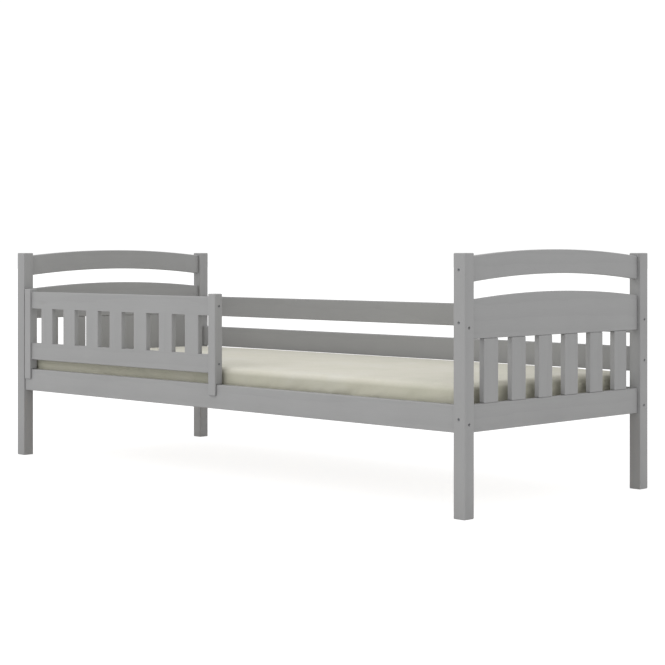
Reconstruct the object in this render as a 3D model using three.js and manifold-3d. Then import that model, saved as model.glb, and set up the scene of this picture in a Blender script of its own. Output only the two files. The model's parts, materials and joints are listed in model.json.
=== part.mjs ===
// A child's single bed in painted pine, made as a knock-down kit: four square posts, two slatted
// ends with arched tops, two side rails, two guard rails along the back, a removable slatted guard
// on the front, a slatted base and a foam mattress.
//
// Millimetres. +X runs from the head end to the foot end, -Y is the front, where the removable guard
// hangs, and +Z is up from the floor. The origin is the middle of the object's footprint.

import * as THREE from "three";
import { mergeVertices } from "three/addons/utils/BufferGeometryUtils.js";
import Module from "manifold-3d";

const wasm = await Module();
wasm.setup();

// ---------------------------------------------------------------- driving dimensions

const BED_LENGTH = 2074; // over the posts
const BED_WIDTH = 858; // over the posts
const POST_SIZE = 40;
const POST_HEIGHT = 714.5;

const EDGE_RADIUS = 3; // eased edges of every board
const FIT_GAP = 0.3; // clearance of tenons, arched boards and lift-off pieces

const RAIL_BOTTOM = 230.8; // side rails and the ends' lower rails
const RAIL_HEIGHT = 75.2;
const SIDE_RAIL_THICKNESS = 24;
const BACK_GUARD_BOTTOMS = { lower: 355.7, upper: 471.7 };
const BACK_GUARD_HEIGHT = 74.8;
const BACK_GUARD_THICKNESS = 20;
const LONG_RAIL_RECESS = 5.5; // front and back rails' outer faces behind the posts' outer faces

const END_THICKNESS = 20; // rails and panels of the two ends, centred on the posts
const PANEL_BOTTOM = 482.5;
const PANEL_HEIGHT = 104.7; // beside the posts
const PANEL_RISE = 19.2; // extra height in the middle
const TOP_RAIL_BOTTOM = 635.7;
const TOP_RAIL_HEIGHT = 69.6;
const TOP_RAIL_LOWER_RISE = 21;
const TOP_RAIL_UPPER_RISE = 19.7;
const END_SLAT_COUNT = 6;
const END_SLAT_WIDTH = 62;
const END_SLAT_PITCH = 121.3;

const SLAT_THICKNESS = 18; // upright slats of the ends and of the guard
const TENON_LENGTH = 12;
const TENON_THICKNESS = 8;
const TENON_SHOULDER = 6; // on each side of the slat's width

const GUARD_LENGTH = 1019;
const GUARD_POST_GAP = 6; // between the head post and the guard
const GUARD_PROUD = 2; // stiles' front faces before the posts' front faces
const GUARD_BOTTOM = 271.5;
const GUARD_TOP = 588;
const STILE_WIDTH = 33;
const STILE_THICKNESS = 31.5;
const GUARD_RAIL_THICKNESS = SLAT_THICKNESS; // rails and slats are flush
const GUARD_RAIL_SETBACK = 8; // their front faces behind the stiles' front faces
const GUARD_RAIL_HEIGHT = 58.3;
const GUARD_RAIL_BOTTOMS = { bottom: 339.9, top: 519.7 };
const GUARD_SLAT_COUNT = 7;
const GUARD_SLAT_WIDTH = 66;
const GUARD_SLAT_PITCH = 129.3;
const GUARD_SCREW_DEPTH = 18; // screw holes of the stiles, from their front face

const HOOK_THICKNESS = 1.5; // steel plates behind the guard's stiles
const HOOK_WIDTH = 26;
const HOOK_BOTTOM = 283;
const HOOK_HEIGHT = 62;

const LEDGER_LENGTH = 1984;
const LEDGER_THICKNESS = 20;
const LEDGER_HEIGHT = 27;
const BASE_SLAT_COUNT = 10;
const BASE_SLAT_WIDTH = 70;
const BASE_SLAT_THICKNESS = 18;
const BASE_SLAT_LENGTH = 790;
const BASE_SLAT_PITCH = 205;

const MATTRESS_LENGTH = 1996;
const MATTRESS_WIDTH = 794;
const MATTRESS_TOP = 355.2;
const MATTRESS_CORNER_RADIUS = 16;

const BOLT_HEAD_RADIUS = 3.7;
const BOLT_HEAD_LENGTH = 5;
const BOLT_HEAD_RECESS = 1.5; // below the post's face
const BOLT_SHANK_RADIUS = 3;
const BOLT_SHANK_LENGTH = 74;
const BOLT_CLEARANCE = 0.3; // radial, in the wood
const BOLT_SIDES = 12;
const SIDE_BOLT_HEIGHTS = { sideRail: 254, lowerGuard: 390, upperGuard: 513.5 }; // bolts along X
const SIDE_RAIL_BOLT_INSET = 19.5; // from the posts' front or back faces
const BACK_GUARD_BOLT_INSET = 17.5;
const END_BOLT_HEIGHTS = [267.8, 527, 669]; // bolts along Y, through the foot posts
const END_BOLT_INSET = 21; // from the posts' outer end faces

// ---------------------------------------------------------------- derived places

const POST_X = (BED_LENGTH - POST_SIZE) / 2;
const POST_Y = (BED_WIDTH - POST_SIZE) / 2;
const CLEAR_LENGTH = BED_LENGTH - 2 * POST_SIZE; // between the posts, along X
const CLEAR_WIDTH = BED_WIDTH - 2 * POST_SIZE; // between the posts, along Y
const RAIL_TOP = RAIL_BOTTOM + RAIL_HEIGHT;
const LONG_RAIL_OUTER_Y = BED_WIDTH / 2 - LONG_RAIL_RECESS;
const SIDE_RAIL_INNER_Y = LONG_RAIL_OUTER_Y - SIDE_RAIL_THICKNESS;
const LEDGER_TOP = RAIL_BOTTOM + LEDGER_HEIGHT;
const BASE_TOP = LEDGER_TOP + BASE_SLAT_THICKNESS;
const STILE_FRONT_Y = -BED_WIDTH / 2 - GUARD_PROUD;
const STILE_BACK_Y = STILE_FRONT_Y + STILE_THICKNESS;
const GUARD_LEFT_X = -BED_LENGTH / 2 + POST_SIZE + GUARD_POST_GAP;
const GUARD_CENTRE_X = GUARD_LEFT_X + GUARD_LENGTH / 2;
const STILE_SPACING = GUARD_LENGTH - STILE_WIDTH;

const ENDS = { head: -1, foot: 1 };
const SIDES = { front: -1, back: 1 };

const SIDE_RAIL = {
  bottom: RAIL_BOTTOM,
  height: RAIL_HEIGHT,
  thickness: SIDE_RAIL_THICKNESS,
  boltHeight: SIDE_BOLT_HEIGHTS.sideRail,
  boltInset: SIDE_RAIL_BOLT_INSET,
};
const BACK_GUARD_RAIL = {
  side: "back",
  height: BACK_GUARD_HEIGHT,
  thickness: BACK_GUARD_THICKNESS,
  boltInset: BACK_GUARD_BOLT_INSET,
};
const LONG_RAILS = {
  side_rail_front: { ...SIDE_RAIL, side: "front" },
  side_rail_back: { ...SIDE_RAIL, side: "back" },
  back_guard_rail_lower: {
    ...BACK_GUARD_RAIL,
    bottom: BACK_GUARD_BOTTOMS.lower,
    boltHeight: SIDE_BOLT_HEIGHTS.lowerGuard,
  },
  back_guard_rail_upper: {
    ...BACK_GUARD_RAIL,
    bottom: BACK_GUARD_BOTTOMS.upper,
    boltHeight: SIDE_BOLT_HEIGHTS.upperGuard,
  },
};

// The front posts are drilled at the upper guard rail's height too, and no bolt uses those holes.
const EMPTY_HOLE = { boltHeight: SIDE_BOLT_HEIGHTS.upperGuard, boltInset: SIDE_RAIL_BOLT_INSET };

// ---------------------------------------------------------------- materials

const paintedPine = () => new THREE.MeshStandardMaterial({ color: 0x9d9d9d, roughness: 0.5, metalness: 0 });
const barePine = () => new THREE.MeshStandardMaterial({ color: 0xdcbf8f, roughness: 0.65, metalness: 0 });
const zincSteel = () => new THREE.MeshStandardMaterial({ color: 0x8c8f92, roughness: 0.35, metalness: 1 });
const ticking = () => new THREE.MeshStandardMaterial({ color: 0xd6d4c6, roughness: 0.95, metalness: 0 });

// ---------------------------------------------------------------- solids

/** A closed three.js geometry as a manifold-3d solid. */
function solidOf(geometry) {
  const positions = geometry.clone();
  positions.deleteAttribute("normal");
  positions.deleteAttribute("uv");
  const merged = mergeVertices(positions, 1e-4);
  return new wasm.Manifold(
    new wasm.Mesh({
      numProp: 3,
      vertProperties: merged.attributes.position.array,
      triVerts: new Uint32Array(merged.index.array),
    }),
  );
}

/** A manifold-3d solid as a three.js geometry. */
function geometryOf(solid) {
  const mesh = solid.getMesh();
  const geometry = new THREE.BufferGeometry();
  geometry.setAttribute("position", new THREE.BufferAttribute(new Float32Array(mesh.vertProperties), 3));
  geometry.setIndex(new THREE.BufferAttribute(new Uint32Array(mesh.triVerts), 1));
  const shaded = geometry.toNonIndexed();
  shaded.computeVertexNormals();
  return shaded;
}

function cut(geometry, cutters) {
  const rest = cutters.reduce((solid, cutter) => solid.subtract(solidOf(cutter)), solidOf(geometry));
  return geometryOf(rest);
}

function join(geometry, additions) {
  const whole = additions.reduce((solid, addition) => solid.add(solidOf(addition)), solidOf(geometry));
  return geometryOf(whole);
}

function roundedRectangle(width, height, radius) {
  const x = width / 2 - radius;
  const y = height / 2 - radius;
  const shape = new THREE.Shape();
  shape.absarc(x, -y, radius, -Math.PI / 2, 0);
  shape.absarc(x, y, radius, 0, Math.PI / 2);
  shape.absarc(-x, y, radius, Math.PI / 2, Math.PI);
  shape.absarc(-x, -y, radius, Math.PI, 1.5 * Math.PI);
  return shape;
}

// Each grain turns a section drawn in the XY plane, extruded along Z, so that its length lies on
// the named axis. sizes lists which world sizes are the section's width, its height and the length.
const GRAINS = {
  x: { sizes: [1, 2, 0], basis: [[0, 1, 0], [0, 0, 1], [1, 0, 0]] },
  y: { sizes: [2, 0, 1], basis: [[0, 0, 1], [1, 0, 0], [0, 1, 0]] },
  z: { sizes: [0, 1, 2], basis: [[1, 0, 0], [0, 1, 0], [0, 0, 1]] },
};

/** A board centred on the origin, its four long edges rounded, with its grain along an axis. */
function board(sizes, grain, radius = EDGE_RADIUS) {
  const [width, height, length] = GRAINS[grain].sizes.map((axis) => sizes[axis]);
  const geometry = new THREE.ExtrudeGeometry(roundedRectangle(width, height, radius), {
    depth: length,
    bevelEnabled: false,
    curveSegments: 1,
  });
  geometry.translate(0, 0, -length / 2);
  const axes = GRAINS[grain].basis.map((axis) => new THREE.Vector3(...axis));
  return geometry.applyMatrix4(new THREE.Matrix4().makeBasis(...axes));
}

/** A plain block between two corners, for cutting and joining. */
function block(low, high) {
  const size = high.map((value, axis) => value - low[axis]);
  const centre = high.map((value, axis) => (value + low[axis]) / 2);
  return new THREE.BoxGeometry(...size).translate(...centre);
}

/** A round cutter from start, running along a unit direction on a world axis. */
function drill(start, direction, radius, depth) {
  const overrun = 1; // so that the drill breaks the surface it starts from
  const along = new THREE.Vector3(...direction);
  const turn = new THREE.Quaternion().setFromUnitVectors(new THREE.Vector3(0, 1, 0), along);
  const middle = new THREE.Vector3(...start).addScaledVector(along, (depth - overrun) / 2);
  const geometry = new THREE.CylinderGeometry(radius, radius, depth + overrun, BOLT_SIDES);
  return geometry.applyQuaternion(turn).translate(middle.x, middle.y, middle.z);
}

function addMesh(group, name, geometry, material, position) {
  const mesh = new THREE.Mesh(geometry, material);
  mesh.name = name;
  mesh.position.set(...position);
  group.add(mesh);
  return mesh;
}

// ---------------------------------------------------------------- posts and their bolts

/** The two cutters of one bolt: its head's recess, and its shank's hole right through the post. */
function boltHole(start, direction) {
  const recess = BOLT_HEAD_RECESS + BOLT_HEAD_LENGTH;
  return [
    drill(start, direction, BOLT_HEAD_RADIUS + BOLT_CLEARANCE, recess),
    drill(start, direction, BOLT_SHANK_RADIUS + BOLT_CLEARANCE, POST_SIZE + 2),
  ];
}

/** The rails' bolts run along X through every post, the foot end's along Y through its two posts. */
function addPost(group, endName, sideName) {
  const end = ENDS[endName];
  const side = SIDES[sideName];
  const half = POST_SIZE / 2;
  const centreZ = POST_HEIGHT / 2;
  const railBolts = Object.values(LONG_RAILS).filter((rail) => rail.side === sideName);
  if (sideName === "front") railBolts.push(EMPTY_HOLE);
  const alongX = railBolts.flatMap(({ boltHeight, boltInset }) =>
    boltHole([end * half, side * (half - boltInset), boltHeight - centreZ], [-end, 0, 0]));
  const alongY = END_BOLT_HEIGHTS.flatMap((z) =>
    boltHole([half - END_BOLT_INSET, side * half, z - centreZ], [0, -side, 0]));
  const timber = board([POST_SIZE, POST_SIZE, POST_HEIGHT], "z");
  const geometry = cut(timber, endName === "foot" ? [...alongX, ...alongY] : alongX);
  addMesh(group, `post_${sideName}_${endName}`, geometry, paintedPine(),
    [end * POST_X, side * POST_Y, centreZ]);
}

/** A cylinder-head bolt, its head at the origin and its shank along +X. */
function bolt() {
  const length = BOLT_HEAD_LENGTH + BOLT_SHANK_LENGTH;
  const profile = [
    [0, 0],
    [BOLT_SHANK_RADIUS, 0],
    [BOLT_SHANK_RADIUS, BOLT_SHANK_LENGTH],
    [BOLT_HEAD_RADIUS, BOLT_SHANK_LENGTH],
    [BOLT_HEAD_RADIUS, length],
    [0, length],
  ].map(([radius, height]) => new THREE.Vector2(radius, height));
  return new THREE.LatheGeometry(profile, BOLT_SIDES).translate(0, -length, 0).rotateZ(Math.PI / 2);
}

/** The bolts that hold the side rails and the back guard rails, through the posts, along X. */
function addRailBolts(group) {
  for (const [railName, rail] of Object.entries(LONG_RAILS)) {
    for (const [endName, end] of Object.entries(ENDS)) {
      const x = end * (BED_LENGTH / 2 - BOLT_HEAD_RECESS);
      const y = SIDES[rail.side] * (BED_WIDTH / 2 - rail.boltInset);
      const mesh = addMesh(group, `bolt_${railName}_${endName}`, bolt(), zincSteel(),
        [x, y, rail.boltHeight]);
      if (end > 0) mesh.rotation.z = Math.PI;
    }
  }
}

// ---------------------------------------------------------------- rails between the posts

/** A rail along the front or the back, drilled in both ends for its bolts. */
function addLongRail(group, name, rail) {
  const side = SIDES[rail.side];
  const y = side * (LONG_RAIL_OUTER_Y - rail.thickness / 2);
  const centreZ = rail.bottom + rail.height / 2;
  const boltY = side * (BED_WIDTH / 2 - rail.boltInset) - y;
  const boltReach = BOLT_HEAD_RECESS + BOLT_HEAD_LENGTH + BOLT_SHANK_LENGTH - POST_SIZE;
  const holes = Object.values(ENDS).map((end) =>
    drill([(end * CLEAR_LENGTH) / 2, boltY, rail.boltHeight - centreZ], [-end, 0, 0],
      BOLT_SHANK_RADIUS + BOLT_CLEARANCE, boltReach + 2));
  const geometry = cut(board([CLEAR_LENGTH, rail.thickness, rail.height], "x"), holes);
  addMesh(group, name, geometry, paintedPine(), [0, y, centreZ]);
}

// ---------------------------------------------------------------- upright slats with tenons

/** Tenon of one slat end, or the pocket that takes it when spare is the clearance around it. */
function tenon(centre, acrossAxis, slatWidth, direction, spare = 0) {
  const halfWidth = slatWidth / 2 - TENON_SHOULDER + spare;
  const halfThickness = TENON_THICKNESS / 2 + spare;
  const half = acrossAxis === "y" ? [halfThickness, halfWidth] : [halfWidth, halfThickness];
  const outer = direction * (TENON_LENGTH + spare);
  const root = -direction; // 1 mm inside the piece that it grows from
  const low = [centre[0] - half[0], centre[1] - half[1], centre[2] + Math.min(root, outer)];
  const high = [centre[0] + half[0], centre[1] + half[1], centre[2] + Math.max(root, outer)];
  return block(low, high);
}

/** One slat with a tenon at either end; width lies along acrossAxis. */
function slat(acrossAxis, width, height) {
  const sizes = acrossAxis === "y" ? [SLAT_THICKNESS, width, height] : [width, SLAT_THICKNESS, height];
  const ends = [-1, 1].map((direction) =>
    tenon([0, 0, (direction * height) / 2], acrossAxis, width, direction));
  return join(board(sizes, "z"), ends);
}

/** Centres of count slats, evenly spaced about zero. */
function slatOffsets(count, pitch) {
  return Array.from({ length: count }, (_, index) => (index - (count - 1) / 2) * pitch);
}

// ---------------------------------------------------------------- the two ends

/** Adds to an outline an arc over 2 * halfSpan that climbs by rise in its middle, drawn either way. */
function arcOver(shape, halfSpan, endHeight, rise, leftwards) {
  const radius = (halfSpan ** 2 + rise ** 2) / (2 * rise);
  const half = Math.asin(halfSpan / radius);
  const from = Math.PI / 2 + (leftwards ? -half : half);
  const to = Math.PI / 2 + (leftwards ? half : -half);
  shape.absarc(0, endHeight + rise - radius, radius, from, to, !leftwards);
}

/** A board in the YZ plane with an arched top, and an arched bottom where bottomRise isn't zero. */
function archedBoard(bottom, bottomRise, top, topRise) {
  const halfSpan = CLEAR_WIDTH / 2 - FIT_GAP;
  const outline = new THREE.Shape();
  arcOver(outline, halfSpan, top, topRise, true);
  if (bottomRise > 0) {
    arcOver(outline, halfSpan, bottom, bottomRise, false);
  } else {
    outline.lineTo(-halfSpan, bottom);
    outline.lineTo(halfSpan, bottom);
  }
  const geometry = new THREE.ExtrudeGeometry(outline, {
    depth: END_THICKNESS - 2 * EDGE_RADIUS,
    bevelEnabled: true,
    bevelSize: EDGE_RADIUS,
    bevelThickness: EDGE_RADIUS,
    bevelOffset: -EDGE_RADIUS,
    bevelSegments: 1,
    curveSegments: 7,
  });
  geometry.translate(0, 0, EDGE_RADIUS - END_THICKNESS / 2);
  const axes = GRAINS.x.basis.map((axis) => new THREE.Vector3(...axis));
  return geometry.applyMatrix4(new THREE.Matrix4().makeBasis(...axes));
}

function addEnd(group, endName) {
  const x = ENDS[endName] * POST_X;
  const offsets = slatOffsets(END_SLAT_COUNT, END_SLAT_PITCH);
  const pockets = (height, direction) =>
    offsets.map((y) => tenon([0, y, height], "y", END_SLAT_WIDTH, direction, FIT_GAP));

  const topRail = archedBoard(TOP_RAIL_BOTTOM, TOP_RAIL_LOWER_RISE,
    TOP_RAIL_BOTTOM + TOP_RAIL_HEIGHT, TOP_RAIL_UPPER_RISE);
  addMesh(group, `${endName}_top_rail`, topRail, paintedPine(), [x, 0, 0]);

  const panel = archedBoard(PANEL_BOTTOM, 0, PANEL_BOTTOM + PANEL_HEIGHT, PANEL_RISE);
  addMesh(group, `${endName}_panel`, cut(panel, pockets(PANEL_BOTTOM, 1)), paintedPine(), [x, 0, 0]);

  const lowerRail = board([END_THICKNESS, CLEAR_WIDTH, RAIL_HEIGHT], "y");
  addMesh(group, `${endName}_lower_rail`, cut(lowerRail, pockets(RAIL_HEIGHT / 2, -1)), paintedPine(),
    [x, 0, RAIL_BOTTOM + RAIL_HEIGHT / 2]);

  const slatHeight = PANEL_BOTTOM - RAIL_TOP;
  offsets.forEach((y, index) => {
    addMesh(group, `${endName}_slat_${index + 1}`, slat("y", END_SLAT_WIDTH, slatHeight), paintedPine(),
      [x, y, RAIL_TOP + slatHeight / 2]);
  });
}

// ---------------------------------------------------------------- the removable guard

/** A stile stands on the side rail, and its lip laps over the rail's front. */
function addStile(guard, stileName, direction) {
  const height = GUARD_TOP - GUARD_BOTTOM;
  const centre = [
    GUARD_CENTRE_X + (direction * STILE_SPACING) / 2,
    (STILE_FRONT_Y + STILE_BACK_Y) / 2,
    GUARD_BOTTOM + height / 2,
  ];
  const lipBackY = -LONG_RAIL_OUTER_Y - FIT_GAP - centre[1];
  const notch = block(
    [-STILE_WIDTH, lipBackY, -height],
    [STILE_WIDTH, STILE_THICKNESS, RAIL_TOP + FIT_GAP - centre[2]],
  );
  const screwStart = [(direction * STILE_WIDTH) / 2, STILE_FRONT_Y + GUARD_SCREW_DEPTH - centre[1]];
  const screwHoles = Object.values(GUARD_RAIL_BOTTOMS).map((bottom) =>
    drill([...screwStart, bottom + GUARD_RAIL_HEIGHT / 2 - centre[2]], [-direction, 0, 0],
      BOLT_HEAD_RADIUS + BOLT_CLEARANCE, BOLT_HEAD_RECESS + BOLT_HEAD_LENGTH),
  );
  const geometry = cut(board([STILE_WIDTH, STILE_THICKNESS, height], "z"), [notch, ...screwHoles]);
  addMesh(guard, `guard_stile_${stileName}`, geometry, paintedPine(), centre);
}

/** A steel plate behind each stile grips the side rail between itself and the stile's lip. */
function addHook(guard, endName, direction) {
  const sizes = [HOOK_WIDTH, HOOK_THICKNESS, HOOK_HEIGHT];
  addMesh(guard, `guard_hook_${endName}`, board(sizes, "y", EDGE_RADIUS), zincSteel(), [
    GUARD_CENTRE_X + (direction * STILE_SPACING) / 2,
    -SIDE_RAIL_INNER_Y + FIT_GAP + HOOK_THICKNESS / 2,
    HOOK_BOTTOM + HOOK_HEIGHT / 2,
  ]);
}

function addGuard(group) {
  const guard = new THREE.Group();
  group.add(guard);
  for (const [endName, direction] of Object.entries(ENDS)) {
    addStile(guard, endName, direction);
    addHook(guard, endName, direction);
  }
  const railLength = STILE_SPACING - STILE_WIDTH;
  const railY = STILE_FRONT_Y + GUARD_RAIL_SETBACK + GUARD_RAIL_THICKNESS / 2;
  const offsets = slatOffsets(GUARD_SLAT_COUNT, GUARD_SLAT_PITCH);
  for (const [level, bottom] of Object.entries(GUARD_RAIL_BOTTOMS)) {
    const direction = level === "top" ? 1 : -1; // pockets face the slats
    const pockets = offsets.map((x) =>
      tenon([x, 0, (-direction * GUARD_RAIL_HEIGHT) / 2], "x", GUARD_SLAT_WIDTH, direction, FIT_GAP));
    const rail = board([railLength, GUARD_RAIL_THICKNESS, GUARD_RAIL_HEIGHT], "x");
    addMesh(guard, `guard_rail_${level}`, cut(rail, pockets), paintedPine(),
      [GUARD_CENTRE_X, railY, bottom + GUARD_RAIL_HEIGHT / 2]);
  }
  const slatBottom = GUARD_RAIL_BOTTOMS.bottom + GUARD_RAIL_HEIGHT;
  const slatHeight = GUARD_RAIL_BOTTOMS.top - slatBottom;
  offsets.forEach((x, index) => {
    addMesh(guard, `guard_slat_${index + 1}`, slat("x", GUARD_SLAT_WIDTH, slatHeight), paintedPine(),
      [GUARD_CENTRE_X + x, railY, slatBottom + slatHeight / 2]);
  });
}

// ---------------------------------------------------------------- base and mattress

function addBase(group) {
  for (const [sideName, side] of Object.entries(SIDES)) {
    addMesh(group, `ledger_${sideName}`, board([LEDGER_LENGTH, LEDGER_THICKNESS, LEDGER_HEIGHT], "x"),
      paintedPine(), [0, side * (SIDE_RAIL_INNER_Y - LEDGER_THICKNESS / 2), RAIL_BOTTOM + LEDGER_HEIGHT / 2]);
  }
  slatOffsets(BASE_SLAT_COUNT, BASE_SLAT_PITCH).forEach((x, index) => {
    addMesh(group, `base_slat_${index + 1}`,
      board([BASE_SLAT_WIDTH, BASE_SLAT_LENGTH, BASE_SLAT_THICKNESS], "y"), barePine(),
      [x, 0, LEDGER_TOP + BASE_SLAT_THICKNESS / 2]);
  });
}

function addMattress(group) {
  const bottom = BASE_TOP + FIT_GAP;
  const outline = roundedRectangle(MATTRESS_LENGTH, MATTRESS_WIDTH, MATTRESS_CORNER_RADIUS);
  const geometry = new THREE.ExtrudeGeometry(outline, {
    depth: MATTRESS_TOP - bottom,
    bevelEnabled: false,
    curveSegments: 3,
  });
  addMesh(group, "mattress", geometry, ticking(), [0, 0, bottom]);
}

// ---------------------------------------------------------------- the whole bed

const bed = new THREE.Group();
bed.name = "bed";
bed.position.y = GUARD_PROUD / 2; // centres the footprint, guard included, on the origin

for (const endName of Object.keys(ENDS)) {
  for (const sideName of Object.keys(SIDES)) addPost(bed, endName, sideName);
  addEnd(bed, endName);
}
for (const [name, rail] of Object.entries(LONG_RAILS)) addLongRail(bed, name, rail);
addRailBolts(bed);
addGuard(bed);
addBase(bed);
addMattress(bed);

export default bed;
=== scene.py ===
"""The looks of a child's single bed in grey painted pine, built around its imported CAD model.

Metres. +X runs from the head end to the foot end, -Y is the front and +Z is up.
"""

import json
import math
import random

import bmesh
import bpy
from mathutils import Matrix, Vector, noise as fractal


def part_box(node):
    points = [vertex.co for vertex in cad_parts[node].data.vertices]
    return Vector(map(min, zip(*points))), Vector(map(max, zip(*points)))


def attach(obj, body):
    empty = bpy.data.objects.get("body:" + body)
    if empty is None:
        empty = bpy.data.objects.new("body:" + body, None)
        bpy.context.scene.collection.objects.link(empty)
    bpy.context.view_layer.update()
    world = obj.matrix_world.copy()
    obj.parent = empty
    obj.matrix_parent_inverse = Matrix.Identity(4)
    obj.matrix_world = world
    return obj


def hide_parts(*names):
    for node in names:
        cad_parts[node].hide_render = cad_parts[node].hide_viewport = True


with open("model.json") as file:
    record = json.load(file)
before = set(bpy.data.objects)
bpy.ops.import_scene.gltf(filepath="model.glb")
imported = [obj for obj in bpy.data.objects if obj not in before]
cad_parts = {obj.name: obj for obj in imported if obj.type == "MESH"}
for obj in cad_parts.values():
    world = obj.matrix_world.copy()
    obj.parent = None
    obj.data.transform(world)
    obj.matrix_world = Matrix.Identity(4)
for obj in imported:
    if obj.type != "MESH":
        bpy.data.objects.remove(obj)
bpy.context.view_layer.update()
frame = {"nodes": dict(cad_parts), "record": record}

# ---------------------------------------------------------------- driving dimensions

MM = 0.001

BOARD_RADIUS = 3 * MM  # eased edges of posts, rails and slats
BASE_SLAT_RADIUS = 2 * MM
EDGE_SEGMENTS = 4
SHARP_TURN = math.radians(30)  # edges that turn by more than this are rounded
SMOOTH_TURN = math.radians(42)  # edges that turn by less than this are shaded smooth
FULL_SLANT = 0.29  # slant of a face half-way round a right-angled edge
ARCH_STATIONS = 56
PANEL_RISE = 19.2 * MM
TOP_RAIL_LOWER_RISE = 21 * MM
TOP_RAIL_UPPER_RISE = 19.7 * MM
TENON_LENGTH = 12 * MM
STILE_LIP_THICKNESS = 7.2 * MM
RAIL_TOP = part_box("side_rail_front")[1].z

SIDE_RAIL_BOLT_INSET = 19.5 * MM  # bolts along X, from the posts' front or back face
BACK_GUARD_BOLT_INSET = 17.5 * MM
END_BOLT_INSET = 21 * MM  # bolts along Y, from the posts' outer end face
RAIL_BOLT_HEIGHT = 254 * MM
LOWER_GUARD_BOLT_HEIGHT = 390 * MM
UPPER_GUARD_BOLT_HEIGHT = 513.5 * MM
END_BOLT_HEIGHTS = (267.8 * MM, 527 * MM, 669 * MM)
GUARD_SCREW_HEIGHTS = (369.05 * MM, 548.85 * MM)
GUARD_SCREW_DEPTH = 18 * MM  # from the front faces of the stiles
HEAD_RADIUS = 3.7 * MM
HEAD_LENGTH = 5 * MM
HEAD_RECESS = 1.5 * MM
SHANK_RADIUS = 3 * MM
SEAT_DEPTH = HEAD_RECESS + HEAD_LENGTH  # of the counterbore that takes a head
SHANK_LENGTH = 74 * MM
SCREW_SHANK_LENGTH = 42 * MM
SOCKET_APOTHEM = 2 * MM
SOCKET_DEPTH = 3.2 * MM
HOLE_CLEARANCE = 0.3 * MM
ROUND_SIDES = 24

MATTRESS_VOXEL = 9 * MM
MATTRESS_CORNER_RADIUS = 15 * MM
MATTRESS_EDGE_RADIUS = 11 * MM
MATTRESS_UNDER_RADIUS = 10 * MM
MATTRESS_UNDERCUT = 5 * MM  # how far the side has drawn in at its foot
MATTRESS_FOOT_GAP = 9 * MM  # the mattress lies up against the head end and the front
MATTRESS_BACK_GAP = 3 * MM
CORNER_STEPS = 8
PROFILE_STEPS = 6
MATTRESS_INSET = 2 * MM  # room for the cloth to swell into
MATTRESS_CAP = 4 * MM  # furthest that a point of the cover may move in the simulation
MATTRESS_FRAMES = 12
SEAM_DROP = 6 * MM  # from the mattress's top down to the seam of its border
SEAM_DEPTH = 1.2 * MM
GATHER_DEPTH = 1.6 * MM  # of the soft gathers in the border, at its foot

PAINT_GREY = 0.30
BORDER_CLOTH_AND_SHADE_TINT = (0.75, 0.755, 0.72)  # the border is darker than the top of the mattress: a duller cloth, and painted shade for the sides that the light reaches less
DOME_STRENGTH = 1.02
CARD_GREY = 0.85
KEY_PLACE = (-1.0, -4.8, 4.2)
KEY_POWER = 60
CAMERA_PLACE = (3.903, -3.8132, 0.7137)
CAMERA_AZIMUTH = math.radians(44.886)
CAMERA_LENS = 89.7
CAMERA_SHIFT = (0.0033, -0.1192)


# ---------------------------------------------------------------- camera, light and floor

def make_camera():
    camera = bpy.data.objects.new("camera", bpy.data.cameras.new("camera"))
    bpy.context.scene.collection.objects.link(camera)
    camera.location = CAMERA_PLACE
    camera.rotation_euler = (math.pi / 2, 0, CAMERA_AZIMUTH)
    camera.data.lens = CAMERA_LENS
    camera.data.shift_x, camera.data.shift_y = CAMERA_SHIFT
    camera.data.clip_end = 200
    bpy.context.scene.camera = camera


def make_area_light(name, place, target, size, power):
    light = bpy.data.lights.new(name, "AREA")
    light.shape = "DISK"
    light.size = size
    light.energy = power
    lamp = bpy.data.objects.new(name, light)
    lamp.location = place
    lamp.rotation_euler = (Vector(target) - Vector(place)).to_track_quat("-Z", "Y").to_euler()
    bpy.context.scene.collection.objects.link(lamp)


def make_world():
    """A white dome over the bed."""
    world = bpy.data.worlds.new("studio")
    world.use_nodes = True
    background = world.node_tree.nodes["Background"]
    background.inputs["Color"].default_value = (1, 1, 1, 1)
    background.inputs["Strength"].default_value = DOME_STRENGTH
    bpy.context.scene.world = world
    bpy.context.scene.view_settings.view_transform = "Standard"


def make_plane(name, height, grey, glow):
    bm = bmesh.new()
    bmesh.ops.create_grid(bm, x_segments=8, y_segments=8, size=60)
    bmesh.ops.translate(bm, verts=bm.verts[:], vec=(0, 0, height))
    plane = add_object(name, bm)
    material, tree, shader = new_material(name)
    speckle = noise(tree, texture_place(tree, "Object"), 3.0, 3)
    tone = ramp(tree, speckle, (0.3, grey * 0.98), (0.7, grey * 1.02))
    tree.links.new(tone, shader.inputs["Base Color"])
    shader.inputs["Roughness"].default_value = 0.9
    shader.inputs["Specular IOR Level"].default_value = 0.0
    shader.inputs["Emission Color"].default_value = (1, 1, 1, 1)
    shader.inputs["Emission Strength"].default_value = glow
    plane.data.materials.append(material)
    return plane


def make_floor():
    """A glowing white floor that takes a faint shadow, and under it the card that throws light back."""
    floor = make_plane("floor", 0.0, 0.3, 0.86)
    floor.visible_diffuse = False
    floor.visible_glossy = False
    floor.visible_shadow = False
    card = make_plane("bounce_card", -1 * MM, CARD_GREY, 0.0)
    card.visible_camera = False


# ---------------------------------------------------------------- material nodes

def new_material(name):
    material = bpy.data.materials.new(name)
    material.use_nodes = True
    return material, material.node_tree, material.node_tree.nodes["Principled BSDF"]


def add_node(tree, kind, inputs, **settings):
    """A shader node whose inputs are set from values, or linked where they are given as sockets."""
    made = tree.nodes.new("ShaderNode" + kind)
    for name, value in settings.items():
        setattr(made, name, value)
    for key, value in inputs.items():
        if isinstance(value, bpy.types.NodeSocket):
            tree.links.new(value, made.inputs[key])
        else:
            made.inputs[key].default_value = value
    return made


def texture_place(tree, output):
    return add_node(tree, "TexCoord", {}).outputs[output]


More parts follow.
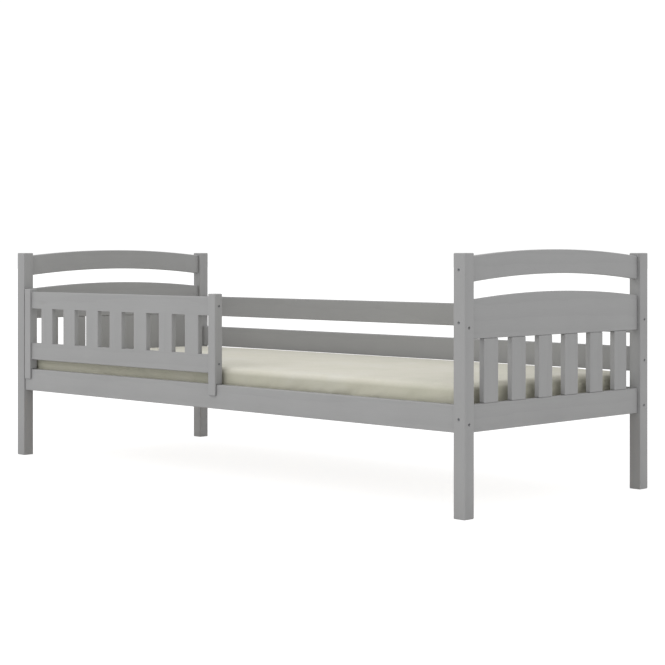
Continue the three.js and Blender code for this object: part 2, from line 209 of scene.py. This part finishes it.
def attribute(tree, name, output="Vector"):
    return add_node(tree, "Attribute", {}, attribute_name=name).outputs[output]


def scaled(tree, vector, scale):
    return add_node(tree, "VectorMath", {0: vector, 1: scale}, operation="MULTIPLY").outputs[0]


def maths(tree, operation, *values):
    return add_node(tree, "Math", dict(enumerate(values)), operation=operation).outputs[0]


def noise(tree, vector, scale, detail, roughness=0.5):
    inputs = {"Vector": vector, "Scale": scale, "Detail": detail, "Roughness": roughness}
    return add_node(tree, "TexNoise", inputs).outputs["Fac"]


def ramp(tree, factor, *stops):
    """A colour ramp; each stop is its position and its colour, or its position and a grey value."""
    made = add_node(tree, "ValToRGB", {"Fac": factor})
    elements = made.color_ramp.elements
    while len(elements) < len(stops):
        elements.new(1.0)
    for element, (position, colour) in zip(elements, stops):
        element.position = position
        rgb = colour if isinstance(colour, tuple) else (colour, colour, colour)
        element.color = (*rgb, 1)
    return made.outputs["Color"]


def mixed(tree, blend, factor, first, second):
    inputs = {0: factor, 6: first, 7: second}
    return add_node(tree, "Mix", inputs, data_type="RGBA", blend_type=blend).outputs[2]


def bumped(tree, shader, *layers):
    """Each layer is a height socket, how far it stands out in metres, and its strength."""
    normal = None
    for height, distance, strength in layers:
        inputs = {"Height": height, "Distance": distance, "Strength": strength}
        if normal is not None:
            inputs["Normal"] = normal
        normal = add_node(tree, "Bump", inputs).outputs["Normal"]
    tree.links.new(normal, shader.inputs["Normal"])


# ---------------------------------------------------------------- materials

def wood_figure(tree):
    """Growth rings, fibres and knots of a board; X of the grain coordinates runs along the board."""
    place = attribute(tree, "grain")
    sway = noise(tree, scaled(tree, place, (1.3, 9, 9)), 1.0, 2)
    swayed = add_node(tree, "VectorMath", {0: place, 1: (0, 0.05, 0.03)}, operation="ADD").outputs[0]
    shift = scaled(tree, add_node(tree, "CombineXYZ", {1: sway, 2: sway}).outputs[0], (0, 0.045, 0.03))
    log = add_node(tree, "VectorMath", {0: swayed, 1: shift}, operation="ADD").outputs[0]
    rings = add_node(
        tree, "TexWave",
        {"Vector": log, "Scale": 9.0, "Distortion": 1.6, "Detail": 3.0, "Detail Scale": 1.2},
        wave_type="RINGS", rings_direction="X", wave_profile="SAW",
    ).outputs["Fac"]
    fibres = noise(tree, scaled(tree, place, (14, 620, 620)), 1.0, 4, 0.62)
    cells = add_node(
        tree, "TexVoronoi",
        {"Vector": scaled(tree, place, (2.6, 9, 9)), "Scale": 1.0, "Randomness": 1.0},
    ).outputs["Distance"]
    knots = ramp(tree, cells, (0.035, 1.0), (0.085, 0.0))
    return place, rings, fibres, knots


def make_painted_pine():
    """Satin grey paint, thin enough for the grain and a few knots to stand through it faintly."""
    material, tree, shader = new_material("painted_pine")
    place, rings, fibres, knots = wood_figure(tree)
    edge = attribute(tree, "edge", "Fac")
    clouds = noise(tree, place, 4.5, 4)
    base = ramp(tree, clouds, (0.25, PAINT_GREY * 0.965), (0.75, PAINT_GREY * 1.03))
    ringed = mixed(tree, "MULTIPLY", 0.07, base, ramp(tree, rings, (0.0, 0.55), (0.55, 1.0)))
    fibred = mixed(tree, "MULTIPLY", 0.07, ringed, ramp(tree, fibres, (0.3, 0.55), (0.6, 1.0)))
    knotted = mixed(tree, "MULTIPLY", maths(tree, "MULTIPLY", knots, 0.12), fibred, (0.6, 0.57, 0.54, 1))
    # edges are mixed toward a lighter grey: partly paint rubbed thin, partly a painted highlight where the
    # rounded edges catch the light
    worn_and_highlit = mixed(tree, "MIX", maths(tree, "MULTIPLY", edge, 0.28), knotted, (0.47, 0.47, 0.47, 1))
    tree.links.new(worn_and_highlit, shader.inputs["Base Color"])
    stipple = noise(tree, place, 900.0, 2)
    sheen = noise(tree, place, 30.0, 3)
    rough = add_node(tree, "MapRange", {"Value": sheen, "To Min": 0.44, "To Max": 0.58}).outputs[0]
    tree.links.new(rough, shader.inputs["Roughness"])
    shader.inputs["Specular IOR Level"].default_value = 0.4
    bumped(
        tree, shader,
        (rings, 0.12 * MM, 0.25),
        (fibres, 0.10 * MM, 0.30),
        (stipple, 0.05 * MM, 0.25),
        (knots, 0.15 * MM, 0.30),
    )
    return material


def make_bare_pine():
    """Planed pine without a finish."""
    material, tree, shader = new_material("bare_pine")
    place, rings, fibres, knots = wood_figure(tree)
    early, late, dark = (0.74, 0.55, 0.33), (0.66, 0.44, 0.23), (0.50, 0.29, 0.13)
    base = ramp(tree, rings, (0.0, early), (0.7, late), (1.0, dark))
    fibred = mixed(tree, "MULTIPLY", 0.3, base, ramp(tree, fibres, (0.3, 0.6), (0.6, 1.0)))
    clouds = ramp(tree, noise(tree, place, 5, 3), (0.3, 0.7), (0.7, 1.0))
    clouded = mixed(tree, "MULTIPLY", 0.25, fibred, clouds)
    knotted = mixed(tree, "MIX", knots, clouded, (0.20, 0.10, 0.045, 1))
    tree.links.new(knotted, shader.inputs["Base Color"])
    shader.inputs["Roughness"].default_value = 0.62
    shader.inputs["Specular IOR Level"].default_value = 0.3
    bumped(tree, shader, (rings, 0.2 * MM, 0.3), (fibres, 0.15 * MM, 0.5))
    return material


def make_zinc():
    """Zinc-plated steel, with turned marks and a dull bloom."""
    material, tree, shader = new_material("zinc_steel")
    place = texture_place(tree, "Object")
    bloom = noise(tree, place, 700.0, 4)
    tint = ramp(tree, bloom, (0.3, (0.22, 0.23, 0.24)), (0.7, (0.34, 0.35, 0.36)))
    tree.links.new(tint, shader.inputs["Base Color"])
    shader.inputs["Metallic"].default_value = 1.0
    rough = add_node(tree, "MapRange", {"Value": bloom, "To Min": 0.3, "To Max": 0.5}).outputs[0]
    tree.links.new(rough, shader.inputs["Roughness"])
    marks = noise(tree, scaled(tree, place, (4000, 4000, 4000)), 1.0, 2)
    bumped(tree, shader, (marks, 0.02 * MM, 0.4))
    return material


def weave_height(tree, place):
    """Warp and weft threads on all sides of an upright block."""
    pitch = 2 * math.pi / (1.1 * MM)
    split = add_node(tree, "SeparateXYZ", {"Vector": scaled(tree, place, (pitch, pitch, pitch))})
    along, across, up = (maths(tree, "SINE", split.outputs[axis]) for axis in range(3))
    return maths(tree, "ADD", maths(tree, "MULTIPLY", along, maths(tree, "ADD", across, up)), 1.0)


def make_ticking():
    """Cream cotton ticking, with slubs in the thread, soft mottling and a little fuzz."""
    material, tree, shader = new_material("mattress_ticking")
    place = texture_place(tree, "Object")
    mottle = noise(tree, place, 7.0, 4, 0.6)
    dull, cream, pale = (0.585, 0.575, 0.485), (0.62, 0.60, 0.515), (0.635, 0.62, 0.55)
    base = ramp(tree, mottle, (0.3, dull), (0.5, cream), (0.7, pale))
    slubs = noise(tree, scaled(tree, place, (60, 900, 900)), 1.0, 3)
    slubbed = mixed(tree, "MULTIPLY", 0.12, base, ramp(tree, slubs, (0.35, 0.7), (0.6, 1.0)))
    weave = weave_height(tree, place)
    woven = mixed(tree, "MULTIPLY", 0.10, slubbed, ramp(tree, weave, (0.0, 0.7), (1.0, 1.0)))
    # the border below the seam is tinted darker: partly a duller border cloth, partly painted shade for the
    # mattress's sides, which take less light than its top
    below = attribute(tree, "below_seam", "Fac")
    border_cloth_and_shade_mask = add_node(tree, "MapRange", {"Value": below, "From Min": -4 * MM, "From Max": 12 * MM}).outputs[0]
    border_cloth_and_shade = mixed(tree, "MULTIPLY", border_cloth_and_shade_mask, woven, (*BORDER_CLOTH_AND_SHADE_TINT, 1))
    tree.links.new(border_cloth_and_shade, shader.inputs["Base Color"])
    shader.inputs["Roughness"].default_value = 0.92
    shader.inputs["Specular IOR Level"].default_value = 0.2
    shader.inputs["Sheen Weight"].default_value = 0.15
    shader.inputs["Sheen Roughness"].default_value = 0.5
    fuzz = noise(tree, place, 1500.0, 3)
    folds = noise(tree, scaled(tree, place, (9, 9, 4)), 1.0, 3)
    bumped(tree, shader, (weave, 0.15 * MM, 0.35), (fuzz, 0.1 * MM, 0.3), (folds, 3 * MM, 0.15))
    return material


# ---------------------------------------------------------------- mesh tools

def add_object(name, bm):
    mesh = bpy.data.meshes.new(name)
    bm.to_mesh(mesh)
    bm.free()
    made = bpy.data.objects.new(name, mesh)
    bpy.context.scene.collection.objects.link(made)
    return made


def apply_modifiers(piece):
    depsgraph = bpy.context.evaluated_depsgraph_get()
    mesh = bpy.data.meshes.new_from_object(piece.evaluated_get(depsgraph), depsgraph=depsgraph)
    piece.modifiers.clear()
    old = piece.data
    piece.data = mesh
    bpy.data.meshes.remove(old)
    mesh.name = piece.name


def round_edges(bm, radius, chosen=None):
    """Rounds the sharp convex edges of a solid, or only the chosen ones of them."""
    sharp = [edge for edge in bm.edges if edge.is_convex and edge.calc_face_angle() > SHARP_TURN]
    if chosen is not None:
        sharp = [edge for edge in sharp if chosen(edge)]
    bmesh.ops.bevel(
        bm, geom=sharp, offset=radius, offset_type="OFFSET", segments=EDGE_SEGMENTS,
        profile=0.5, affect="EDGES", clamp_overlap=True,
    )


def arc_height(place, half_span, rise):
    """Height at a place across an arc of a circle that is zero at its ends and rise in its middle."""
    if rise == 0:
        return 0.0
    radius = (half_span ** 2 + rise ** 2) / (2 * rise)
    return math.sqrt(radius ** 2 - place ** 2) - (radius - rise)


def board_solid(low, high, rise_low=0.0, rise_high=0.0):
    """A box between two corners, or a board along Y whose lower and upper edges are arched."""
    stations = ARCH_STATIONS if rise_high else 1
    half_span = (high.y - low.y) / 2
    middle = (high.y + low.y) / 2
    bm = bmesh.new()
    rings = []
    for index in range(stations + 1):
        offset = half_span * (2 * index / stations - 1)
        bottom = low.z + arc_height(offset, half_span, rise_low)
        top = high.z - rise_high + arc_height(offset, half_span, rise_high)
        corners = ((low.x, bottom), (high.x, bottom), (high.x, top), (low.x, top))
        rings.append([bm.verts.new((x, middle + offset, z)) for x, z in corners])
    for near, far in zip(rings, rings[1:]):
        for index in range(4):
            after = (index + 1) % 4
            bm.faces.new((near[index], far[index], far[after], near[after]))
    bm.faces.new(rings[0])
    bm.faces.new(reversed(rings[-1]))
    bmesh.ops.recalc_face_normals(bm, faces=bm.faces[:])
    return bm


def turned_solid(profile, origin, axis):
    """A solid of rings about an axis; profile holds (radius, depth).

    A radius may be a function of the angle.
    """
    along = Vector(axis)
    across = Vector((0, 0, 1))
    beside = along.cross(across)
    start = Vector(origin)
    bm = bmesh.new()
    first = bm.verts.new(start + along * profile[0][1])
    rings = []
    for radius, depth in profile:
        ring = []
        for side in range(ROUND_SIDES):
            angle = 2 * math.pi * side / ROUND_SIDES
            reach = radius(angle) if callable(radius) else radius
            direction = across * math.cos(angle) + beside * math.sin(angle)
            ring.append(bm.verts.new(start + along * depth + direction * reach))
        rings.append(ring)
    last = bm.verts.new(start + along * profile[-1][1])
    for side in range(ROUND_SIDES):
        after = (side + 1) % ROUND_SIDES
        bm.faces.new((first, rings[0][after], rings[0][side]))
        bm.faces.new((last, rings[-1][side], rings[-1][after]))
        for near, far in zip(rings, rings[1:]):
            bm.faces.new((near[side], near[after], far[after], far[side]))
    bmesh.ops.recalc_face_normals(bm, faces=bm.faces[:])
    return bm


def hole_cutter(origin, axis, depth):
    """A counterbore with a softened mouth, down to the bolt's head, and its shank's hole beyond."""
    head = HEAD_RADIUS + HOLE_CLEARANCE
    profile = [
        (head + 1.2 * MM, -0.6 * MM),
        (head, 0.6 * MM),
        (head, SEAT_DEPTH),
    ]
    if depth > SEAT_DEPTH:
        shank = SHANK_RADIUS + HOLE_CLEARANCE
        profile += [(shank, SEAT_DEPTH), (shank, depth)]
    return turned_solid(profile, origin, axis)


def cut_holes(piece, holes):
    for number, (origin, axis, depth) in enumerate(holes):
        cutter = add_object(f"cutter_{number}", hole_cutter(origin, axis, depth))
        boolean = piece.modifiers.new("hole", "BOOLEAN")
        boolean.operation = "DIFFERENCE"
        boolean.solver = "EXACT"
        boolean.object = cutter
        apply_modifiers(piece)
        bpy.data.objects.remove(cutter)


def shade(piece):
    """Smooth shading that keeps flat faces flat and sharp edges sharp."""
    mesh = piece.data
    mesh.shade_smooth()
    mesh.set_sharp_from_angle(angle=SMOOTH_TURN)
    weighted = piece.modifiers.new("weighted", "WEIGHTED_NORMAL")
    weighted.keep_sharp = True
    apply_modifiers(piece)


def mark_wood(piece):
    """Stores, for the wood materials, where each point lies along the board and how much of an edge it is.

    An edge is a point all of whose faces are slanted, so it is only on the rounding between two flat faces.
    """
    mesh = piece.data
    slants = [1.0] * len(mesh.vertices)
    for face in mesh.polygons:
        slant = 1 - max(abs(part) for part in face.normal)
        for index in face.vertices:
            slants[index] = min(slants[index], slant)
    low = Vector(min(v.co[axis] for v in mesh.vertices) for axis in range(3))
    high = Vector(max(v.co[axis] for v in mesh.vertices) for axis in range(3))
    size = high - low
    order = sorted(range(3), key=lambda axis: -size[axis])
    draw = random.Random(piece.name)
    shift = Vector(draw.uniform(1, 20) for _ in range(3))
    places = []
    for vertex in mesh.vertices:
        along = Vector(vertex.co[axis] for axis in order)
        places.extend(along + shift)
    edges = [min(1.0, slant / FULL_SLANT) for slant in slants]
    mesh.attributes.new("grain", "FLOAT_VECTOR", "POINT").data.foreach_set("vector", places)
    mesh.attributes.new("edge", "FLOAT", "POINT").data.foreach_set("value", edges)


def place_piece(piece, body, slot, material, *nodes):
    piece.data.materials.clear()
    piece.data.materials.append(material)
    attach(piece, body)
    if nodes:
        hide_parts(*nodes)


# ---------------------------------------------------------------- timber

def body_of(node):
    for body, members in frame["record"]["behaviour"]["bodies"].items():
        if node in members:
            return body


def add_timber(node, bm, radius, material, slot, holes=(), chosen=None):
    round_edges(bm, radius, chosen)
    piece = add_object(node + "_timber", bm)
    cut_holes(piece, holes)
    shade(piece)
    mark_wood(piece)
    place_piece(piece, body_of(node), slot, material, node)


def post_corner(side, end):
    """The outer corner of one post, at its foot, and the outward directions along X and Y."""
    low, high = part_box(f"post_{side}_{end}")
    outward_x = 1 if end == "foot" else -1
    outward_y = 1 if side == "back" else -1
    face_x = high.x if outward_x > 0 else low.x
    face_y = high.y if outward_y > 0 else low.y
    return face_x, face_y, outward_x, outward_y


def side_holes(side, end):
    """Holes along X of one post, for the rails of its side; the last one of a front post stays empty."""
    face_x, face_y, outward_x, outward_y = post_corner(side, end)
    low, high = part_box(f"post_{side}_{end}")
    through = high.x - low.x + 1 * MM
    bores = [(RAIL_BOLT_HEIGHT, SIDE_RAIL_BOLT_INSET, SEAT_DEPTH)]
    if side == "front":
        bores.append((UPPER_GUARD_BOLT_HEIGHT, SIDE_RAIL_BOLT_INSET, through))
    else:
        bores.append((LOWER_GUARD_BOLT_HEIGHT, BACK_GUARD_BOLT_INSET, SEAT_DEPTH))
        bores.append((UPPER_GUARD_BOLT_HEIGHT, BACK_GUARD_BOLT_INSET, SEAT_DEPTH))
    return [
        ((face_x, face_y - outward_y * inset, height), (-outward_x, 0, 0), depth)
        for height, inset, depth in bores
    ]


def end_holes(side, end):
    """Holes along Y of one foot post, for the rails of the foot end; the head end has no bolts."""
    if end == "head":
        return []
    face_x, face_y, _, outward_y = post_corner(side, end)
    return [
        ((face_x - END_BOLT_INSET, face_y, height), (0, -outward_y, 0), SEAT_DEPTH)
        for height in END_BOLT_HEIGHTS
    ]


def add_posts(material):
    for side in ("front", "back"):
        for end in ("head", "foot"):
            node = f"post_{side}_{end}"
            holes = side_holes(side, end) + end_holes(side, end)
            add_timber(node, board_solid(*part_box(node)), BOARD_RADIUS, material, "painted_pine", holes)


def add_ends(material):
    for end in ("head", "foot"):
        arched = {
            f"{end}_top_rail": (TOP_RAIL_LOWER_RISE, TOP_RAIL_UPPER_RISE),
            f"{end}_panel": (0.0, PANEL_RISE),
            f"{end}_lower_rail": (0.0, 0.0),
        }
        for node, rises in arched.items():
            add_timber(node, board_solid(*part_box(node), *rises), BOARD_RADIUS, material, "painted_pine")


def upright(edge):
    return abs(edge.verts[0].co.z - edge.verts[1].co.z) > 1 * MM


def add_slats(material):
    """The upright slats, without their hidden tenons; the guard's are flush with its rails."""
    tenon = Vector((0, 0, TENON_LENGTH))
    for node in frame["nodes"]:
        if "_slat_" in node and not node.startswith("base"):
            low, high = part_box(node)
            chosen = upright if node.startswith("guard") else None
            bm = board_solid(low + tenon, high - tenon)
            add_timber(node, bm, BOARD_RADIUS, material, "painted_pine", chosen=chosen)


def add_long_boards(material):
    names = ["side_rail_front", "side_rail_back", "back_guard_rail_lower", "back_guard_rail_upper"]
    names += ["ledger_front", "ledger_back"]
    for node in names:
        add_timber(node, board_solid(*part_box(node)), BOARD_RADIUS, material, "painted_pine")


def add_guard_rails(material):
    """The guard's rails are flush with its slats, so only their outer long edges are eased."""
    for level, top in (("bottom", False), ("top", True)):
        node = f"guard_rail_{level}"
        low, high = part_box(node)
        outer = high.z if top else low.z

        def on_outer_edge(edge):
            along_x = abs(edge.verts[0].co.x - edge.verts[1].co.x) > 1 * MM
            return along_x and all(abs(vert.co.z - outer) < 0.01 * MM for vert in edge.verts)

        add_timber(node, board_solid(low, high), BOARD_RADIUS, material, "painted_pine", chosen=on_outer_edge)


def stile_solid(low, high):
    """A stile that stands on the side rail, with a lip that laps over the rail's front."""
    lip_back = low.y + STILE_LIP_THICKNESS
    shoulder = RAIL_TOP + HOLE_CLEARANCE
    outline = [
        (low.y, low.z), (lip_back, low.z), (lip_back, shoulder),
        (high.y, shoulder), (high.y, high.z), (low.y, high.z),
    ]
    bm = bmesh.new()
    rings = [[bm.verts.new((x, y, z)) for y, z in outline] for x in (low.x, high.x)]
    count = len(outline)
    for index in range(count):
        after = (index + 1) % count
        bm.faces.new((rings[0][index], rings[0][after], rings[1][after], rings[1][index]))
    for ring in rings:
        bm.faces.new(ring)
    bmesh.ops.recalc_face_normals(bm, faces=bm.faces[:])
    return bm


def stile_screws(node):
    low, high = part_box(node)
    outward = 1 if node.endswith("foot") else -1
    face = high.x if outward > 0 else low.x
    return [((face, low.y + GUARD_SCREW_DEPTH, height), (-outward, 0, 0)) for height in GUARD_SCREW_HEIGHTS]


def add_stiles(material):
    for node in ("guard_stile_head", "guard_stile_foot"):
        holes = [(origin, axis, SEAT_DEPTH) for origin, axis in stile_screws(node)]
        add_timber(node, stile_solid(*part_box(node)), BOARD_RADIUS, material, "painted_pine", holes)


def add_base_slats(material):
    for node in frame["nodes"]:
        if node.startswith("base_slat"):
            add_timber(node, board_solid(*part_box(node)), BASE_SLAT_RADIUS, material, "bare_pine")


# ---------------------------------------------------------------- bolts and plates

def hexagon(angle):
    sixth = math.pi / 3
    return SOCKET_APOTHEM / math.cos(angle % sixth - sixth / 2)


def bolt_solid(face, axis, shank_length):
    """A cylinder-head bolt with a hexagon socket; face is a point on the wood, axis points into it."""
    top = HEAD_RECESS
    under = SEAT_DEPTH
    profile = [
        (SOCKET_APOTHEM * 0.5, top + SOCKET_DEPTH + 0.3 * MM),
        (hexagon, top + SOCKET_DEPTH),
        (hexagon, top + 0.25 * MM),
        (SOCKET_APOTHEM / math.cos(math.pi / 6) + 0.25 * MM, top),
        (HEAD_RADIUS - 0.4 * MM, top),
        (HEAD_RADIUS - 0.1 * MM, top + 0.12 * MM),
        (HEAD_RADIUS, top + 0.4 * MM),
        (HEAD_RADIUS, under),
        (SHANK_RADIUS, under),
        (SHANK_RADIUS, under + shank_length),
    ]
    return turned_solid(profile, face, axis)


def add_bolt(name, face, axis, shank_length, body, material, *nodes):
    piece = add_object(name, bolt_solid(face, axis, shank_length))
    shade(piece)
    place_piece(piece, body, "zinc_steel", material, *nodes)


def add_fasteners(material):
    for node in frame["nodes"]:
        if node.startswith("bolt_"):
            low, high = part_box(node)
            middle = (low + high) / 2
            outward = 1 if node.endswith("foot") else -1
            outer = high.x if outward > 0 else low.x
            face = (outer + outward * HEAD_RECESS, middle.y, middle.z)
            add_bolt(node + "_socket_head", face, (-outward, 0, 0), SHANK_LENGTH, "root", material, node)
    for side in ("front", "back"):
        for number, (face, axis, _) in enumerate(end_holes(side, "foot"), 1):
            add_bolt(f"bolt_end_{side}_foot_{number}", face, axis, SHANK_LENGTH, "root", material)
    for node in ("guard_stile_head", "guard_stile_foot"):
        for number, (face, axis) in enumerate(stile_screws(node), 1):
            add_bolt(f"{node}_screw_{number}", face, axis, SCREW_SHANK_LENGTH, "guard", material)


def finish_plates(material):
    for node in ("guard_hook_head", "guard_hook_foot"):
        plate = frame["nodes"][node]
        plate.data.materials.clear()
        plate.data.materials.append(material)


# ---------------------------------------------------------------- mattress

def rounded_outline(half_x, half_y, radius):
    """Points of a rectangle with round corners, about the origin."""
    points = []
    for quarter, (sign_x, sign_y) in enumerate(((1, 1), (-1, 1), (-1, -1), (1, -1))):
        for step in range(CORNER_STEPS + 1):
            angle = (quarter + step / CORNER_STEPS) * math.pi / 2
            x = sign_x * (half_x - radius) + radius * math.cos(angle)
            y = sign_y * (half_y - radius) + radius * math.sin(angle)
            points.append((x, y))
    return points


def side_profile(height):
    """How far in the side lies, and how high, from the underside up: a soft edge that curves under."""
    top_radius, under_radius, undercut = MATTRESS_EDGE_RADIUS, MATTRESS_UNDER_RADIUS, MATTRESS_UNDERCUT
    profile = []
    for step in range(PROFILE_STEPS + 1):
        angle = math.pi / 2 * step / PROFILE_STEPS
        inset = undercut + under_radius * (1 - math.sin(angle))
        profile.append((inset, under_radius * (1 - math.cos(angle))))
    for step in range(PROFILE_STEPS + 1):
        angle = math.pi / 2 * step / PROFILE_STEPS
        rise = height - top_radius + top_radius * math.sin(angle)
        profile.append((top_radius * (1 - math.cos(angle)), rise))
    return profile


def mattress_block(low, high):
    """The mattress as sewn, a little smaller than when its foam fills it."""
    middle = (low + high) / 2
    half = (high - low) / 2
    bm = bmesh.new()
    rings = []
    for inset, rise in side_profile(high.z - low.z - MATTRESS_INSET / 2):
        reach = inset + MATTRESS_INSET
        radius = max(MATTRESS_CORNER_RADIUS - inset, 1 * MM)
        outline = rounded_outline(half.x - reach, half.y - reach, radius)
        rings.append([bm.verts.new((middle.x + x, middle.y + y, low.z + rise)) for x, y in outline])
    for near, far in zip(rings, rings[1:]):
        for index in range(len(near)):
            after = (index + 1) % len(near)
            bm.faces.new((near[index], near[after], far[after], far[index]))
    bm.faces.new(list(reversed(rings[0])))
    bm.faces.new(rings[-1])
    return bm


def inflate(piece):
    """Swells the cover with a cloth simulation, its underside held flat on the slats."""
    rest = [vertex.co.copy() for vertex in piece.data.vertices]
    floor_height = min(place.z for place in rest)
    held = piece.vertex_groups.new(name="held")
    under = [index for index, place in enumerate(rest) if place.z < floor_height + 3 * MM]
    held.add(under, 1.0, "REPLACE")
    cloth = piece.modifiers.new("cloth", "CLOTH")
    cloth.settings.quality = 4
    cloth.settings.use_pressure = True
    cloth.settings.uniform_pressure_force = 3.0
    cloth.settings.shrink_min = -0.012
    cloth.settings.tension_stiffness = 12
    cloth.settings.compression_stiffness = 12
    cloth.settings.bending_stiffness = 0.6
    cloth.settings.vertex_group_mass = "held"
    cloth.settings.effector_weights.gravity = 0
    cloth.collision_settings.use_collision = False
    scene = bpy.context.scene
    for step in range(1, MATTRESS_FRAMES + 1):
        scene.frame_set(step)
    depsgraph = bpy.context.evaluated_depsgraph_get()
    swollen = piece.evaluated_get(depsgraph).data
    moved = [vertex.co.copy() for vertex in swollen.vertices]
    piece.modifiers.clear()
    scene.frame_set(1)
    for vertex, start, end in zip(piece.data.vertices, rest, moved):
        move = end - start
        if move.length > MATTRESS_CAP:
            move *= MATTRESS_CAP / move.length
        vertex.co = start + move
    piece.vertex_groups.clear()


def sew_border(piece, low, high):
    """Draws the cover in at the seam round its top, and lets the border below it fall in soft gathers.

    It also stores, for the ticking, how far below the seam each point is.
    """
    mesh = piece.data
    border_height = high.z - SEAM_DROP - low.z
    starts = [vertex.co.copy() for vertex in mesh.vertices]
    normals = [vertex.normal.copy() for vertex in mesh.vertices]
    places = []
    below = []
    for place, normal in zip(starts, normals):
        under_seam = high.z - SEAM_DROP - place.z
        outward = Vector((normal.x, normal.y, 0))
        seam = SEAM_DEPTH * math.exp(-((under_seam / (3 * MM)) ** 2))
        fall = min(max(under_seam / border_height, 0), 1)
        ripple = fractal.noise(Vector((place.x * 17, place.y * 17, place.z * 6)))
        gather = GATHER_DEPTH * fall * (0.5 + ripple)
        place -= outward * (seam + max(gather, 0))
        places += [min(max(place.x, low.x), high.x), min(max(place.y, low.y), high.y), max(place.z, low.z)]
        below.append(under_seam)
    mesh.vertices.foreach_set("co", places)
    mesh.update()
    mesh.attributes.new("below_seam", "FLOAT", "POINT").data.foreach_set("value", below)


def add_mattress(material):
    low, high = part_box("mattress")
    high_corner = Vector((high.x - MATTRESS_FOOT_GAP, high.y - MATTRESS_BACK_GAP, high.z))
    piece = add_object("mattress_cover", mattress_block(low, high_corner))
    remesh = piece.modifiers.new("remesh", "REMESH")
    remesh.mode = "VOXEL"
    remesh.voxel_size = MATTRESS_VOXEL
    apply_modifiers(piece)
    inflate(piece)
    smooth = piece.modifiers.new("smooth", "SMOOTH")
    smooth.iterations = 2
    smooth.factor = 0.5
    subdivide = piece.modifiers.new("subdivide", "SUBSURF")
    subdivide.levels = 1
    subdivide.render_levels = 1
    apply_modifiers(piece)
    sew_border(piece, low, high)
    piece.data.shade_smooth()
    place_piece(piece, "mattress", "mattress_ticking", material, "mattress")


# ---------------------------------------------------------------- the whole scene

make_camera()
make_world()
make_floor()
make_area_light("key", KEY_PLACE, (0, 0, 0.4), 3.5, KEY_POWER)

painted_pine = make_painted_pine()
add_posts(painted_pine)
add_ends(painted_pine)
add_slats(painted_pine)
add_long_boards(painted_pine)
add_guard_rails(painted_pine)
add_stiles(painted_pine)
add_base_slats(make_bare_pine())

zinc = make_zinc()
add_fasteners(zinc)
finish_plates(zinc)

add_mattress(make_ticking())
